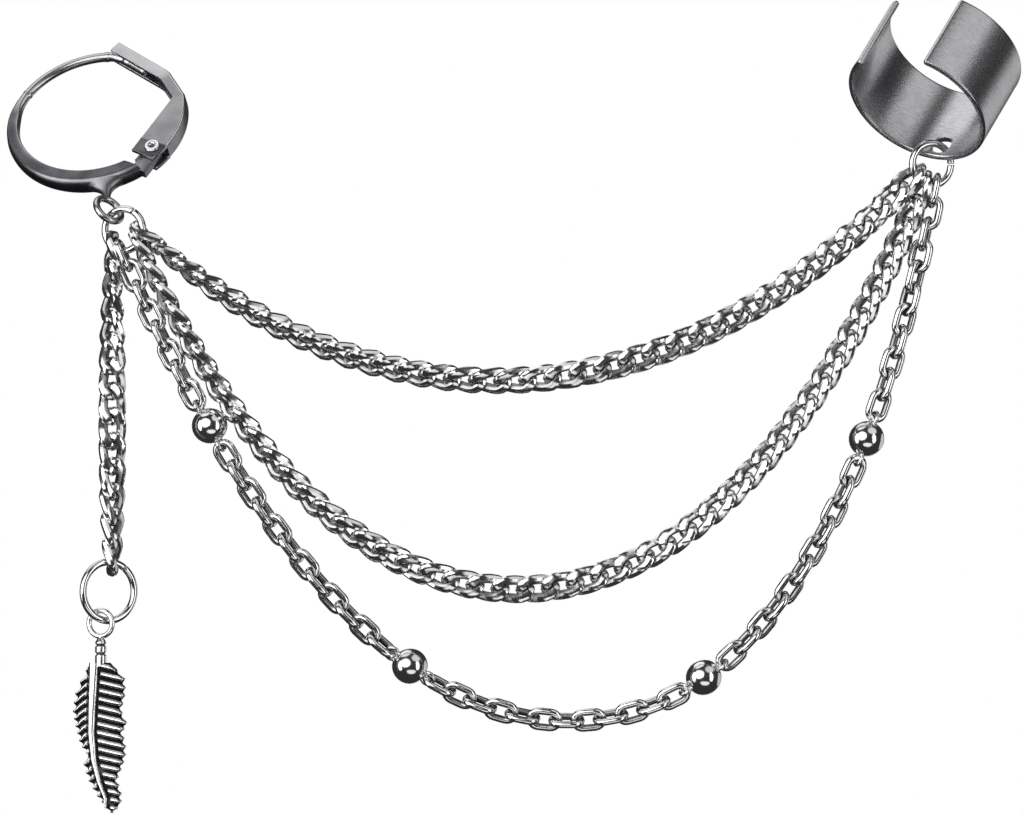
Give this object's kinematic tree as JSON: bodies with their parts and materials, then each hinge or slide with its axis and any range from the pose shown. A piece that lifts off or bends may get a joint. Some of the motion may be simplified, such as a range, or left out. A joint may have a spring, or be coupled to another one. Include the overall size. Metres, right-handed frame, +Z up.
{
  "type": "ear chain earring",
  "caption": "Ear chain earring: a hinged hoop for the lobe and an open cuff for the ear's rim, joined by swagged chains, with a feather on a drop chain.",
  "frame": {"origin": "the point of the ear wire that rests in the pierced lobe, on the wire's centre line", "axes": "+X from the hoop to the cuff, +Y away from the viewer, +Z up"},
  "size_m": [0.0849, 0.0233, 0.0678],
  "materials": {
    "hoop_metal": "polished casting, darker silver tone",
    "lever_metal": "bent sheet, polished",
    "ring_metal": "drawn wire, polished",
    "cuff_metal": "satin sheet",
    "chain_metal": "polished links",
    "bead_metal": "faceted, polished",
    "feather_metal": "cast, polished with dark recesses"
  },
  "bodies": {
    "earring": {"hoop_body": "hoop_metal", "hinge_rivet": "ring_metal", "hoop_jump_ring": "ring_metal", "cuff_jump_ring": "ring_metal", "ear_cuff": "cuff_metal", "upper_chain": "chain_metal", "middle_chain": "chain_metal", "lower_chain": "chain_metal", "bead_1": "bead_metal", "bead_2": "bead_metal", "bead_3": "bead_metal", "bead_4": "bead_metal", "drop_chain": "chain_metal", "pendant_jump_ring": "ring_metal"},
    "lever": {"hoop_lever": "lever_metal"},
    "pendant": {"feather_pendant": "feather_metal"}
  },
  "joints": [
    {"name": "lever_hinge", "type": "hinge", "parent": "earring", "child": "lever", "pos_m": [0.00515, -0.00866, -0.00819], "axis": [0.188, 0.7314, -0.6556], "range_deg": [0, 60]},
    {"name": "pendant_swing", "type": "hinge", "parent": "earring", "child": "pendant", "pos_m": [0.00082, -0.01277, -0.04716], "axis": [0.8065, 0.504, -0.309], "range_deg": [-40, 40]}
  ]
}
